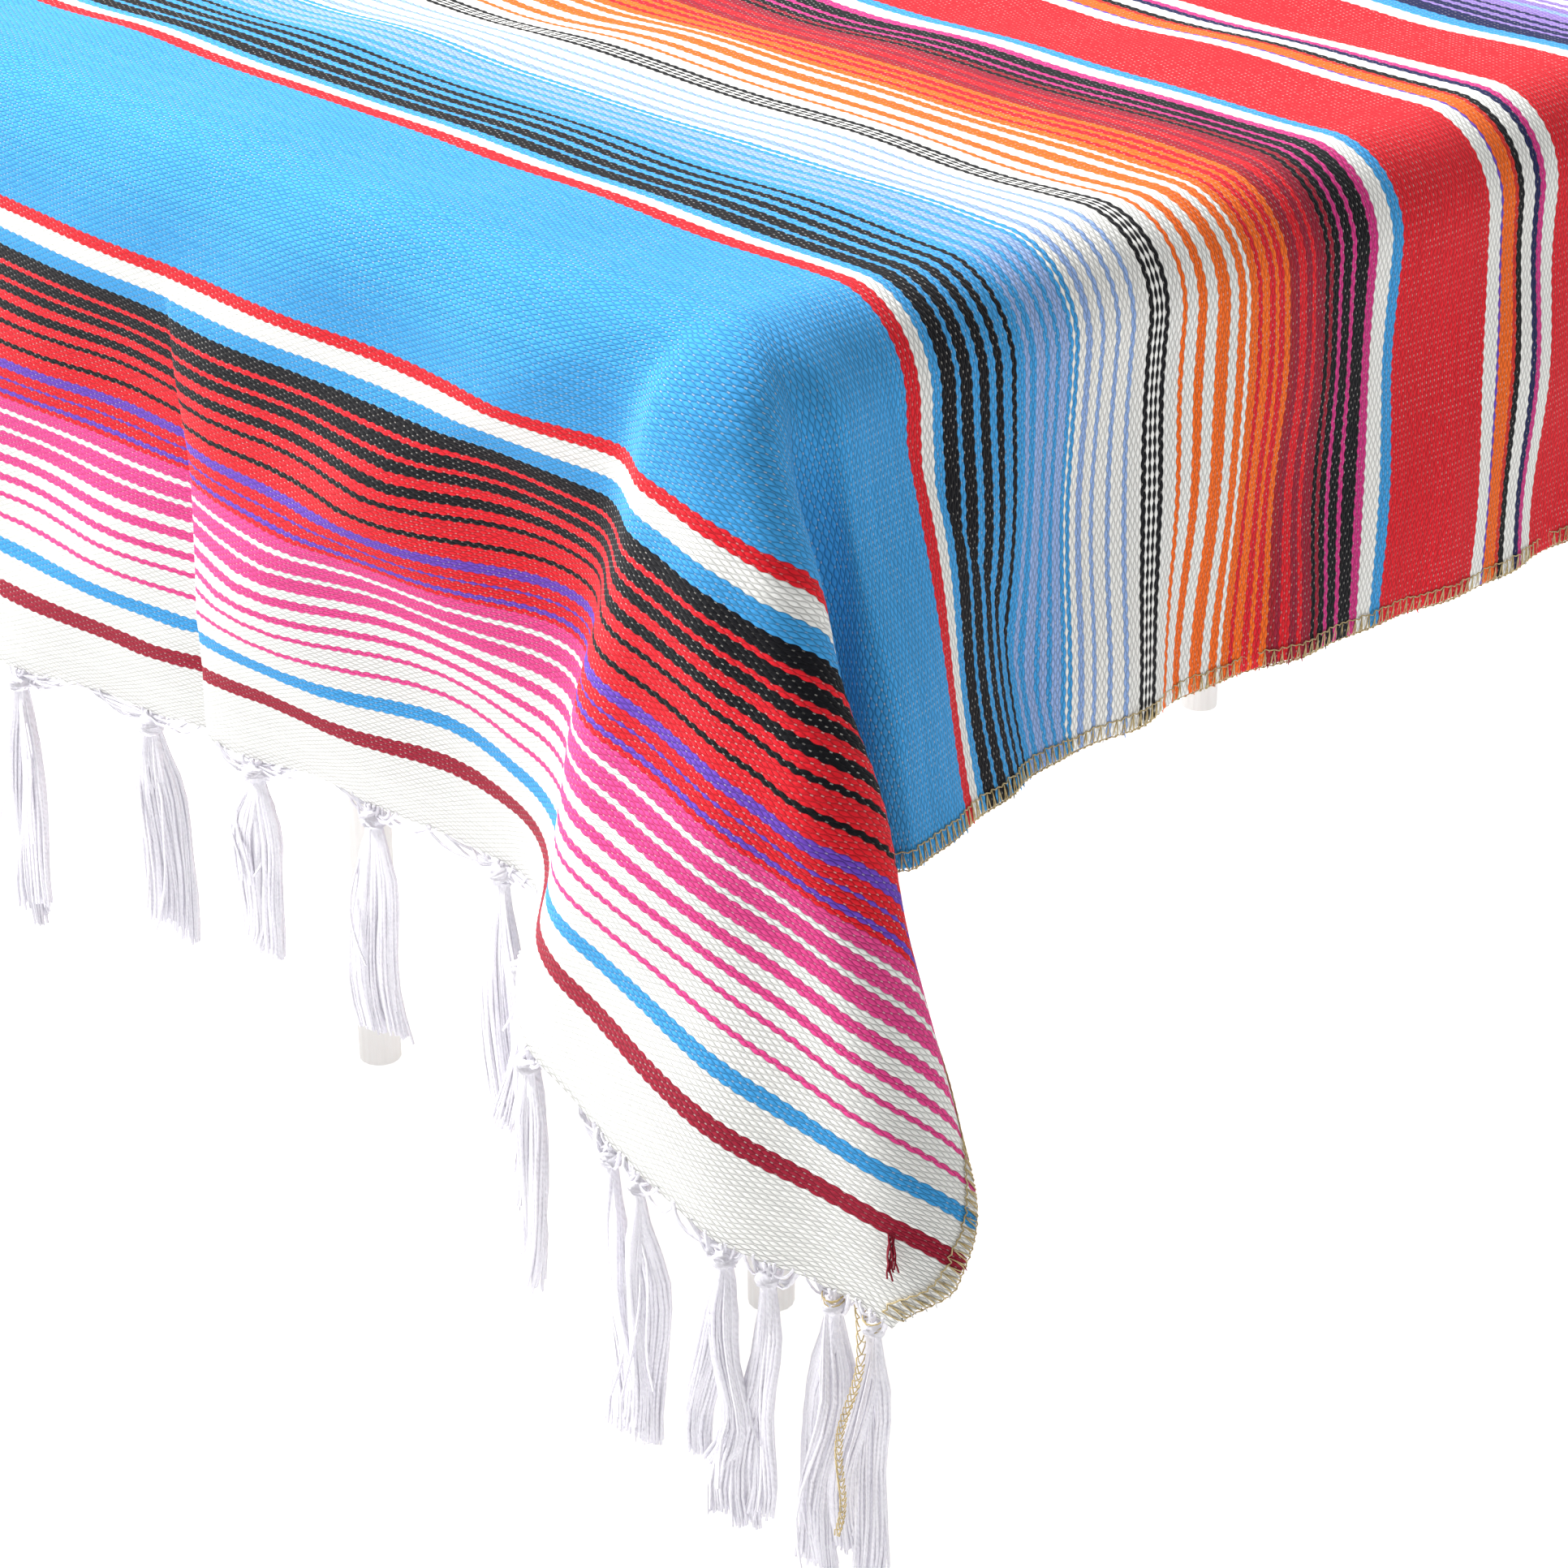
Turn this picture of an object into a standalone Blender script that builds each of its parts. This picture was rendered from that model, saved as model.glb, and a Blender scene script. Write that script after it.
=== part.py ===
"""A Mexican serape laid over a plain table, so that it hangs down on all four sides.

The cloth is one woven wall. Flat cloth coordinates are u, along the stripes, and v, along the
warp. The overlocked sides are at the ends of u and the knotted fringe is at the ends of v.
Metres, +Z up, origin on the floor under the middle of the whole thing.
"""
import math

import bmesh
import bpy
import numpy as np

# The cloth as it was cut
CLOTH_WIDTH = 1.50
CLOTH_LENGTH = 1.95
CLOTH_THICKNESS = 0.002

# How far it hangs over the table's edges, and how softly it turns there
SIDE_DROP = 0.188
END_DROP = 0.261
FOLD_RADIUS = 0.031
APEX_SOFTNESS = 0.019
CORNER_RISE = 0.012
CORNER_REACH = 0.080
TOUCH_GAP = 0.0003

# The table under it
TABLE_HEIGHT = 0.7198
REST_GAP = 0.0005  # under the flat cloth, which dips a little over the slab's corners
SLAB_THICKNESS = 0.026
SLAB_SETBACK = 0.007
SLAB_ROUNDING = 0.025
LEG_INSET_X = 0.397
LEG_INSET_Y = 0.369
LEG_TOP_RADIUS = 0.018
LEG_FOOT_RADIUS = 0.012
LEG_SIDES = 16

HALF_WIDTH = CLOTH_WIDTH / 2
HALF_LENGTH = CLOTH_LENGTH / 2
FOLD_X = HALF_WIDTH - SIDE_DROP
FOLD_Y = HALF_LENGTH - END_DROP
CLOTH_TOP = TABLE_HEIGHT + REST_GAP + CLOTH_THICKNESS / 2

# Each corner hangs in a cone of soft folds. Its level cut, one unit below the table's corner,
# runs from the fringed end's panel, out to the ridge of the ear and back to the side's panel.
# x is out past the side and y is out past the fringed end, in the same units.
FOLD_STYLES = {
    "swept": {
        "end_spread": math.radians(54.0),
        "side_spread": math.radians(31.0),
        "path": [  # x, y
            (-0.505, -0.125),
            (-0.16, 0.143),
            (0.00, 0.178),
            (0.20, 0.192),
            (0.33, 0.145),
            (0.43, 0.115),
            (0.462, 0.06),
            (0.44, 0.00),
            (0.26, -0.045),
            (0.03, 0.082),
            (0.07, -0.06),
            (0.187, -0.10),
        ],
    },
    "square": {
        "end_spread": math.radians(42.0),
        "side_spread": math.radians(38.0),
        "path": [  # x, y
            (-0.42, -0.04),
            (-0.16, 0.130),
            (0.04, 0.130),
            (0.30, 0.440),
            (0.45, 0.360),
            (0.19, 0.040),
            (0.03, 0.040),
            (0.12, -0.160),
            (0.05, -0.420),
        ],
    },
}
CORNER_STYLES = {(1, -1): "swept", (-1, -1): "square", (1, 1): "square", (-1, 1): "swept"}

# Shallow waves of the hanging panels: which side, the middle of the wave along it, its reach
# to either side, and how far it stands out at the hem
PANEL_WAVES = [
    {"side": "+x", "at": -0.400, "reach": 0.055, "out": 0.007},
    {"side": "+x", "at": -0.160, "reach": 0.045, "out": -0.006},
    {"side": "+x", "at": 0.030, "reach": 0.090, "out": 0.010},
    {"side": "+x", "at": 0.310, "reach": 0.060, "out": -0.007},
    {"side": "-x", "at": -0.300, "reach": 0.080, "out": 0.009},
    {"side": "-x", "at": -0.050, "reach": 0.060, "out": -0.006},
    {"side": "-x", "at": 0.220, "reach": 0.090, "out": 0.011},
    {"side": "-y", "at": 0.050, "reach": 0.070, "out": 0.008},
    {"side": "-y", "at": -0.210, "reach": 0.080, "out": -0.006},
    {"side": "+y", "at": 0.180, "reach": 0.080, "out": 0.010},
    {"side": "+y", "at": -0.110, "reach": 0.070, "out": -0.007},
]
# The crease that packing left in the front panel: the cloth steps back to one side of it
CREASE_X = 0.300
CREASE_STEP = 0.013
CREASE_REACH = 0.110
CREASE_EDGE = 0.004

# Grid lines of the wall, as distances in from the cloth's edge, finest where it bends
SIDE_LINES = [0.0, 0.016, 0.034, 0.052, 0.070, 0.088, 0.105, 0.122, 0.139, 0.151, 0.162, 0.173,
              0.185, 0.207, 0.235, 0.267, 0.307, 0.352, 0.410, 0.470, 0.600, HALF_WIDTH]
END_LINES = [0.0, 0.020, 0.042, 0.066, 0.092, 0.118, 0.144, 0.168, 0.191, 0.212, 0.224, 0.235,
             0.246, 0.258, 0.280, 0.312, 0.354, 0.410, 0.490, 0.600, 0.770, HALF_LENGTH]

# Fringe tassels, as distances from the near side edge, then at an even pitch
NEAR_TASSELS = [0.008, 0.023, 0.045, 0.060, 0.101, 0.116, 0.170, 0.232, 0.304, 0.374, 0.440,
                0.511, 0.583]
FAR_TASSELS = [0.140, 0.070, 0.026]
PITCH_COUNT = 10
FULL_GAP = 0.029  # knots nearer to each other than this are made smaller
KNOT = {"top_radius": 0.0012, "radius": 0.0050, "height": 0.012, "belly": 0.45, "sides": 5}
LOCK = {"length": 0.076, "inset": 0.0007, "spread": 0.0060, "taper": 0.70, "steps": 2}

MATERIALS = {
    "cloth": {"color": (0.13, 0.38, 0.77, 1.0), "roughness": 0.90},
    "fringe": {"color": (0.86, 0.86, 0.83, 1.0), "roughness": 0.92},
    "table": {"color": (0.80, 0.78, 0.74, 1.0), "roughness": 0.55},
}


def clear_scene():
    for item in list(bpy.data.objects):
        bpy.data.objects.remove(item, do_unlink=True)


def make_material(name):
    material = bpy.data.materials.new(name)
    material.use_nodes = True
    shader = material.node_tree.nodes["Principled BSDF"]
    shader.inputs["Base Color"].default_value = MATERIALS[name]["color"]
    shader.inputs["Roughness"].default_value = MATERIALS[name]["roughness"]
    shader.inputs["Metallic"].default_value = 0.0
    return material


def add_object(name, mesh, material):
    mesh.materials.append(material)
    item = bpy.data.objects.new(name, mesh)
    bpy.context.scene.collection.objects.link(item)
    return item


def smooth_curve(points, per_span=48):
    """A curve through the points, with tangents taken from their neighbours."""
    points = np.array(points, dtype=float)
    spans = np.sqrt(np.linalg.norm(np.diff(points, axis=0), axis=1))
    marks = np.concatenate([[0.0], np.cumsum(spans)])
    count = len(points)
    slopes = np.empty_like(points)
    for i in range(count):
        before, after = max(i - 1, 0), min(i + 1, count - 1)
        slopes[i] = (points[after] - points[before]) / (marks[after] - marks[before])
    pieces = []
    for i in range(count - 1):
        t = np.linspace(0.0, 1.0, per_span, endpoint=False)[:, None]
        width = marks[i + 1] - marks[i]
        pieces.append((2 * t**3 - 3 * t**2 + 1) * points[i]
                      + (t**3 - 2 * t**2 + t) * width * slopes[i]
                      + (3 * t**2 - 2 * t**3) * points[i + 1]
                      + (t**3 - t**2) * width * slopes[i + 1])
    pieces.append(points[-1:])
    return np.concatenate(pieces)


def fold_directions(style):
    """Directions of the cone's lines, and the flat angle of each, from straight down the end
    panel (0) to straight down the side panel (a quarter turn)."""
    start = (-math.tan(style["end_spread"]), 0.0)
    finish = (0.0, -math.tan(style["side_spread"]))
    path = smooth_curve([start] + style["path"] + [finish])
    lines = np.column_stack([path, -np.ones(len(path))])
    lines /= np.linalg.norm(lines, axis=1)[:, None]
    run = np.concatenate([[0.0], np.cumsum(np.linalg.norm(np.diff(lines, axis=0), axis=1))])
    total = math.pi / 2 + style["end_spread"] + style["side_spread"]
    return run / run[-1] * total - style["end_spread"], lines


FOLDS = {name: fold_directions(style) for name, style in FOLD_STYLES.items()}


def ramp(value, width):
    t = np.clip(value / width, 0.0, 1.0)
    return t * t * (3.0 - 2.0 * t)


def corner_drape(past_side, past_end, style_name):
    """Where the cloth lies near one corner: x out past the side, y out past the end, z down
    from the table, for points that are past_side and past_end beyond the fold lines."""
    style = FOLD_STYLES[style_name]
    angles, lines = FOLDS[style_name]
    over_side = np.maximum(past_side, 0.0)
    over_end = np.maximum(past_end, 0.0)
    reach = np.hypot(over_side, over_end)
    quarter = FOLD_RADIUS * math.pi / 2
    turn = np.minimum(reach, quarter) / FOLD_RADIUS
    outward = np.column_stack([over_side, over_end]) / np.maximum(reach, 1e-9)[:, None]
    place = np.column_stack([
        np.minimum(past_side, 0.0) + outward[:, 0] * FOLD_RADIUS * np.sin(turn),
        np.minimum(past_end, 0.0) + outward[:, 1] * FOLD_RADIUS * np.sin(turn),
        -FOLD_RADIUS * (1.0 - np.cos(turn)) - np.maximum(reach - quarter, 0.0)])

    angle = np.arctan2(past_side, past_end)
    radius = np.sqrt(past_side**2 + past_end**2 + APEX_SOFTNESS**2) - APEX_SOFTNESS
    folded = np.column_stack([np.interp(angle, angles, lines[:, k]) for k in range(3)])
    zero = np.zeros_like(angle)
    plain = np.where((angle < 0.0)[:, None],
                     np.column_stack([np.sin(angle), zero, -np.cos(angle)]),
                     np.where((angle > math.pi / 2)[:, None],
                              np.column_stack([zero, np.cos(angle), -np.sin(angle)]),
                              np.column_stack([zero, zero, zero - 1.0])))
    in_cone = (angle > -style["end_spread"]) & (angle < math.pi / 2 + style["side_spread"])
    return place + np.where(in_cone[:, None], radius[:, None] * (folded - plain), 0.0)


def drape(u, v):
    """Points of the cloth's middle layer for flat cloth coordinates u and v."""
    u, v = np.asarray(u, dtype=float), np.asarray(v, dtype=float)
    # the overlock draws each corner of the cloth in
    drawn = ramp(np.abs(u) - HALF_WIDTH + CORNER_REACH, CORNER_REACH)
    drawn = drawn * ramp(np.abs(v) - HALF_LENGTH + CORNER_REACH, CORNER_REACH)
    v = v - np.sign(v) * CORNER_RISE * drawn
    side, end = np.where(u < 0.0, -1.0, 1.0), np.where(v < 0.0, -1.0, 1.0)
    past_side, past_end = np.abs(u) - FOLD_X, np.abs(v) - FOLD_Y
    points = np.empty((len(u), 3))
    for (sx, sy), style_name in CORNER_STYLES.items():
        here = (side == sx) & (end == sy)
        local = corner_drape(past_side[here], past_end[here], style_name)
        points[here] = np.column_stack([sx * (FOLD_X + local[:, 0]), sy * (FOLD_Y + local[:, 1]),
                                        CLOTH_TOP + local[:, 2]])
    hang_side = ramp(past_side, SIDE_DROP) * ramp(-past_end, 0.10)
    hang_end = ramp(past_end, END_DROP) * ramp(-past_side, 0.06)
    for wave in PANEL_WAVES:
        axis, sign = wave["side"][1], 1.0 if wave["side"][0] == "+" else -1.0
        along, across, hang = (v, side, hang_side) if axis == "x" else (u, end, hang_end)
        bump = wave["out"] * np.exp(-((along - wave["at"]) / wave["reach"])**2)
        points[:, 0 if axis == "x" else 1] += sign * bump * hang * (across == sign)
    back = np.clip((CREASE_X - u) / CREASE_EDGE, 0.0, 1.0)
    step = CREASE_STEP * back * np.exp(-np.maximum(CREASE_X - u, 0.0) / CREASE_REACH)
    points[:, 1] += step * ramp(past_end - FOLD_RADIUS * 1.6, 0.10) * (v < 0.0) * (u > 0.0)
    return points


def both_ways(distances, half, extra=()):
    """Grid lines over the whole width from distances in from one edge."""
    upper = [half - d for d in distances]
    lines = sorted(set([round(x, 6) for x in upper] + [round(-x, 6) for x in upper] + list(extra)))
    return np.array([x + 0.0 for x in lines])


U_LINES = both_ways(SIDE_LINES, HALF_WIDTH, (CREASE_X, CREASE_X - CREASE_EDGE))
V_LINES = both_ways(END_LINES, HALF_LENGTH)


def make_serape(material):
    grid_u, grid_v = np.meshgrid(U_LINES, V_LINES)
    points = drape(grid_u.ravel(), grid_v.ravel())
    columns, rows = len(U_LINES), len(V_LINES)
    faces = []
    for r in range(rows - 1):
        for c in range(columns - 1):
            a, b = r * columns + c, r * columns + c + 1
            d, e = a + columns, b + columns
            # the diagonals run outward from the middle, as the ridges of the ears do
            same_sign = (U_LINES[c] + U_LINES[c + 1]) * (V_LINES[r] + V_LINES[r + 1]) > 0
            faces += [(a, b, e), (a, e, d)] if same_sign else [(a, b, d), (b, e, d)]
    mesh = bpy.data.meshes.new("serape")
    mesh.from_pydata([tuple(p) for p in points], [], faces)
    mesh.shade_smooth()
    cloth = add_object("serape", mesh, material)
    wall = cloth.modifiers.new("wall", "SOLIDIFY")
    wall.thickness = CLOTH_THICKNESS
    wall.offset = 0.0
    wall.use_even_offset = False
    return cloth


def hem_point(u, end):
    """The hem's middle line at u, along the straight runs between the wall's grid lines, and
    how steeply it runs there."""
    hem = drape(U_LINES, np.full(len(U_LINES), end * HALF_LENGTH))
    above = drape(U_LINES, np.full(len(U_LINES), end * (HALF_LENGTH - END_LINES[1])))
    place = np.array([np.interp(u, U_LINES, hem[:, k]) for k in range(3)])
    inner = np.array([np.interp(u, U_LINES, above[:, k]) for k in range(3)])
    near = np.searchsorted(U_LINES, u) - 1
    run = hem[near + 1] - hem[near]
    fall = (place - inner) / np.linalg.norm(place - inner)
    lean = math.hypot(fall[0], fall[1])
    slope = abs(run[2]) / math.hypot(run[0], run[1])
    return place, lean, slope


def tassel_places():
    first = NEAR_TASSELS[-1]
    last = CLOTH_WIDTH - FAR_TASSELS[0]
    pitch = (last - first) / PITCH_COUNT
    middle = [first + pitch * i for i in range(1, PITCH_COUNT)]
    far = [CLOTH_WIDTH - d for d in FAR_TASSELS]
    return NEAR_TASSELS + middle + far


def make_tassel(name, place, lean, slope, turn, scale, length, material):
    """A knot with five locks of thread that hang from its underside, as one closed body."""
    sides = KNOT["sides"]
    gap = TOUCH_GAP + CLOTH_THICKNESS / 2 * lean + KNOT["top_radius"] * slope
    top = place[2] - gap
    shape = bmesh.new()
    rings = []
    for depth, radius in ((0.0, KNOT["top_radius"]),
                          (KNOT["height"] * KNOT["belly"], KNOT["radius"] * scale),
                          (KNOT["height"], KNOT["radius"] * scale * 0.86)):
        rings.append([shape.verts.new((place[0] + radius * math.cos(turn + math.tau * k / sides),
                                       place[1] + radius * math.sin(turn + math.tau * k / sides),
                                       top - depth)) for k in range(sides)])
    shape.faces.new(rings[0])
    for upper, lower in zip(rings, rings[1:]):
        for k in range(sides):
            j = (k + 1) % sides
            shape.faces.new((upper[k], lower[k], lower[j], upper[j]))
    middle = shape.verts.new((place[0], place[1], top - KNOT["height"]))
    roots = [shape.faces.new((middle, rings[2][(k + 1) % sides], rings[2][k]))
             for k in range(sides)]
    bmesh.ops.inset_individual(shape, faces=roots, thickness=LOCK["inset"] * scale,
                               use_even_offset=True)
    step = length / LOCK["steps"]
    for number, root in enumerate(roots):
        heading = turn + math.tau * (number + 0.5) / sides
        own = 1.0 + 0.10 * math.sin(5.1 * number + 3.0 * turn)
        for stage in range(LOCK["steps"]):
            root = bmesh.ops.extrude_discrete_faces(shape, faces=[root])["faces"][0]
            swing = LOCK["spread"] * scale * (1.0, 0.35)[stage % 2]
            drift = 0.004 * scale * math.sin(turn * 2.0 + stage)
            move = (swing * math.cos(heading), swing * math.sin(heading) + drift, -step * own)
            bmesh.ops.translate(shape, verts=root.verts, vec=move)
            centre = root.calc_center_median()
            for corner in root.verts:
                corner.co = centre + (corner.co - centre) * LOCK["taper"]
    bmesh.ops.recalc_face_normals(shape, faces=shape.faces)
    mesh = bpy.data.meshes.new(name)
    shape.to_mesh(mesh)
    shape.free()
    return add_object(name, mesh, material)


def make_fringe(material):
    tassels = []
    for end_name, end in (("front", -1.0), ("back", 1.0)):
        places = tassel_places()
        for number, distance in enumerate(places, start=1):
            u = -end * (HALF_WIDTH - distance)
            gap = min(abs(distance - other) for other in places if other != distance)
            place, lean, slope = hem_point(u, end)
            tassels.append(make_tassel(
                f"tassel_{end_name}_{number:02d}", place, lean, slope, turn=2.4 * number,
                scale=min(gap / FULL_GAP, 1.0),
                length=LOCK["length"] * (1.0 + 0.12 * math.sin(1.7 * number)),
                material=material))
    return tassels


def make_table(material):
    half_x = FOLD_X + FOLD_RADIUS - SLAB_SETBACK - CLOTH_THICKNESS
    half_y = FOLD_Y + FOLD_RADIUS - SLAB_SETBACK - CLOTH_THICKNESS
    bpy.ops.mesh.primitive_cube_add(size=1.0)
    slab = bpy.context.object
    slab.name = "table_top"
    slab.data.name = "table_top"
    for corner in slab.data.vertices:
        corner.co.x *= 2 * half_x
        corner.co.y *= 2 * half_y
        corner.co.z = TABLE_HEIGHT if corner.co.z > 0 else TABLE_HEIGHT - SLAB_THICKNESS
    shape = bmesh.new()
    shape.from_mesh(slab.data)
    upper = [e for e in shape.edges if all(v.co.z > TABLE_HEIGHT - 1e-6 for v in e.verts)]
    uprights = [e for e in shape.edges if abs(e.verts[0].co.z - e.verts[1].co.z) > 1e-6]
    bmesh.ops.bevel(shape, geom=upper + uprights, offset=SLAB_ROUNDING,
                    offset_type="OFFSET", segments=5, profile=0.5, affect="EDGES")
    shape.to_mesh(slab.data)
    shape.free()
    slab.data.shade_smooth()
    slab.data.set_sharp_from_angle(angle=math.radians(40))
    slab.data.materials.append(material)
    pieces = [slab]
    height = TABLE_HEIGHT - SLAB_THICKNESS - TOUCH_GAP
    for end_name, sy in (("front", -1), ("back", 1)):
        for side_name, sx in (("left", -1), ("right", 1)):
            bpy.ops.mesh.primitive_cone_add(
                vertices=LEG_SIDES, radius1=LEG_FOOT_RADIUS, radius2=LEG_TOP_RADIUS, depth=height,
                location=(sx * (FOLD_X - LEG_INSET_X), sy * (FOLD_Y - LEG_INSET_Y), height / 2))
            leg = bpy.context.object
            leg.name = f"leg_{end_name}_{side_name}"
            leg.data.shade_smooth()
            leg.data.set_sharp_from_angle(angle=math.radians(40))
            leg.data.materials.append(material)
            pieces.append(leg)
    return pieces


def centre_on_origin(items):
    """Moves everything so that the middle of the footprint is at the origin."""
    graph = bpy.context.evaluated_depsgraph_get()
    corners = []
    for item in items:
        solid = item.evaluated_get(graph)
        corners += [item.matrix_world @ v.co for v in solid.data.vertices]
    xs, ys = [c.x for c in corners], [c.y for c in corners]
    shift_x, shift_y = (min(xs) + max(xs)) / 2, (min(ys) + max(ys)) / 2
    for item in items:
        item.location.x -= shift_x
        item.location.y -= shift_y


def main():
    clear_scene()
    materials = {name: make_material(name) for name in MATERIALS}
    pieces = [make_serape(materials["cloth"])]
    pieces += make_fringe(materials["fringe"])
    pieces += make_table(materials["table"])
    bpy.context.view_layer.update()
    centre_on_origin(pieces)


main()
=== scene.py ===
# A striped Mexican serape laid over a plain table, with its knotted fringe, its overlocked
# sides, a pale floor and soft studio light.
import math
import random

import bpy
import numpy as np
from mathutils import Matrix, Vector


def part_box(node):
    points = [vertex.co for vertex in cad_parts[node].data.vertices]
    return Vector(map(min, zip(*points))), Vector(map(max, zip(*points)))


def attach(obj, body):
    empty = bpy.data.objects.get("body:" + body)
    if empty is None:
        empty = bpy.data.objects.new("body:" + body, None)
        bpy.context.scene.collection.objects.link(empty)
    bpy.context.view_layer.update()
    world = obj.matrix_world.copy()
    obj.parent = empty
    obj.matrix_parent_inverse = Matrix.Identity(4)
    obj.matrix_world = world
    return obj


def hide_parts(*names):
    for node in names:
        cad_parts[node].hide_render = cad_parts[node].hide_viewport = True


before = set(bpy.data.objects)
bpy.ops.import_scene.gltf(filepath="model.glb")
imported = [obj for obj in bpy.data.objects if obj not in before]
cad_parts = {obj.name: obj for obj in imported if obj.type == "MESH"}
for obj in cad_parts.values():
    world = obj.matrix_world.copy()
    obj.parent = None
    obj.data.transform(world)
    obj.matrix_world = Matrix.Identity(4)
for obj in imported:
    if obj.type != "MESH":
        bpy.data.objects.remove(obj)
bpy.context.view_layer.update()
tableLow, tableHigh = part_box("table_top")
middleX = (tableLow.x + tableHigh.x) / 2
middleY = (tableLow.y + tableHigh.y) / 2
random.seed(11)
print("frame loaded")

# camera
view = {
    "place": (1.3633, -1.4297, 1.1019),  # from the middle of the table, on the floor
    "down": 26.566,  # degrees
    "turn": 47.62,
    "lens": 87.26,  # millimetres
    "sensor": 36.0,
    "nearest": 0.05,
}


def addObject(name, data):
    item = bpy.data.objects.new(name, data)
    bpy.context.scene.collection.objects.link(item)
    return item


def addCamera():
    data = bpy.data.cameras.new("camera")
    data.lens = view["lens"]
    data.sensor_width = view["sensor"]
    data.clip_start = view["nearest"]
    item = addObject("camera", data)
    x, y, z = view["place"]
    item.location = (middleX + x, middleY + y, z)
    item.rotation_euler = (math.radians(90.0 - view["down"]), 0.0, math.radians(view["turn"]))
    bpy.context.scene.camera = item


addCamera()
print("camera placed")

# drape of the cloth
cloth = {
    "width": 1.50,
    "length": 1.95,
    "thickness": 0.0019,
    "sideDrop": 0.188,
    "endDrop": 0.261,
    "foldRadius": 0.031,  # over the table's edge
    "apexSoftness": 0.019,
    "topHeight": 0.7213,  # middle of the wall
    "cornerRise": 0.012,  # the overlock draws each corner in
    "cornerReach": 0.080,
    "sideCalm": 0.10,  # the panels' waves die out this near to a corner
    "endCalm": 0.06,
    "nearStep": 0.0046,  # grid steps where it hangs near the camera
    "farStep": 0.0074,
    "topStep": 0.0145,
    "fineReach": 0.11,  # the fine steps begin this far inside the table's edge
}
halfWidth, halfLength = cloth["width"] / 2, cloth["length"] / 2
foldX, foldY = halfWidth - cloth["sideDrop"], halfLength - cloth["endDrop"]
foldStyles = {  # level cut of each corner's folds, one unit below the table's corner
    "swept": {
        "endSpread": math.radians(54.0),
        "sideSpread": math.radians(31.0),
        "path": [(-0.505, -0.125), (-0.16, 0.143), (0.00, 0.178), (0.20, 0.192),
                 (0.33, 0.145), (0.43, 0.115), (0.462, 0.060), (0.44, 0.000),
                 (0.26, -0.045), (0.03, 0.082), (0.07, -0.060), (0.187, -0.100)],
    },
    "square": {
        "endSpread": math.radians(42.0),
        "sideSpread": math.radians(38.0),
        "path": [(-0.42, -0.04), (-0.16, 0.130), (0.04, 0.130), (0.30, 0.440),
                 (0.45, 0.360), (0.19, 0.040), (0.03, 0.040), (0.12, -0.160),
                 (0.05, -0.420)],
    },
}
cornerStyles = {(1, -1): "swept", (-1, -1): "square", (1, 1): "square", (-1, 1): "swept"}
panelWaves = [  # side, middle along it, reach, how far out at the hem
    ("+x", -0.400, 0.055, 0.007), ("+x", -0.160, 0.045, -0.006), ("+x", 0.030, 0.090, 0.010),
    ("+x", 0.310, 0.060, -0.007), ("-x", -0.300, 0.080, 0.009), ("-x", -0.050, 0.060, -0.006),
    ("-x", 0.220, 0.090, 0.011), ("-y", 0.050, 0.070, 0.008), ("-y", -0.210, 0.080, -0.006),
    ("+y", 0.180, 0.080, 0.010), ("+y", -0.110, 0.070, -0.007),
]
crease = {
    "at": 0.300,
    "lean": 0.020,  # how far it moves towards the middle on its way down
    "leanStart": 0.06, "leanRun": 0.20,
    "step": 0.015, "reach": 0.110, "edge": 0.004,
    "dip": 0.008, "dipReach": 0.020,  # the hollow beside it
    "start": 1.6, "run": 0.10,  # fold radii down to where it begins, metres to its full depth
    "blend": 0.06,  # grid lines this near to it follow its lean
    "clear": (0.007, 0.003),  # grid lines this near to it make way for its own
    "lines": (-0.006, -0.004, -0.002, 0.0, 0.002),
}
cornerBulge = {"out": 0.012, "peak": 0.026, "hold": 0.008, "fade": 0.075, "reach": 0.070}


def smoothCurve(points, perSpan=48):
    points = np.array(points, dtype=float)
    spans = np.sqrt(np.linalg.norm(np.diff(points, axis=0), axis=1))
    marks = np.concatenate([[0.0], np.cumsum(spans)])
    last = len(points) - 1
    slopes = np.array([(points[min(i + 1, last)] - points[max(i - 1, 0)])
                       / (marks[min(i + 1, last)] - marks[max(i - 1, 0)])
                       for i in range(last + 1)])
    runs = []
    for i in range(last):
        t = np.linspace(0.0, 1.0, perSpan, endpoint=False)[:, None]
        width = marks[i + 1] - marks[i]
        runs.append((2 * t**3 - 3 * t**2 + 1) * points[i]
                    + (t**3 - 2 * t**2 + t) * width * slopes[i]
                    + (3 * t**2 - 2 * t**3) * points[i + 1]
                    + (t**3 - t**2) * width * slopes[i + 1])
    runs.append(points[-1:])
    return np.concatenate(runs)


def foldDirections(style):
    start = (-math.tan(style["endSpread"]), 0.0)
    finish = (0.0, -math.tan(style["sideSpread"]))
    path = smoothCurve([start] + style["path"] + [finish])
    lines = np.column_stack([path, -np.ones(len(path))])
    lines /= np.linalg.norm(lines, axis=1)[:, None]
    run = np.concatenate([[0.0], np.cumsum(np.linalg.norm(np.diff(lines, axis=0), axis=1))])
    total = math.pi / 2 + style["endSpread"] + style["sideSpread"]
    return run / run[-1] * total - style["endSpread"], lines


folds = {name: foldDirections(style) for name, style in foldStyles.items()}


def ramp(value, width):
    t = np.clip(value / width, 0.0, 1.0)
    return t * t * (3.0 - 2.0 * t)


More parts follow.
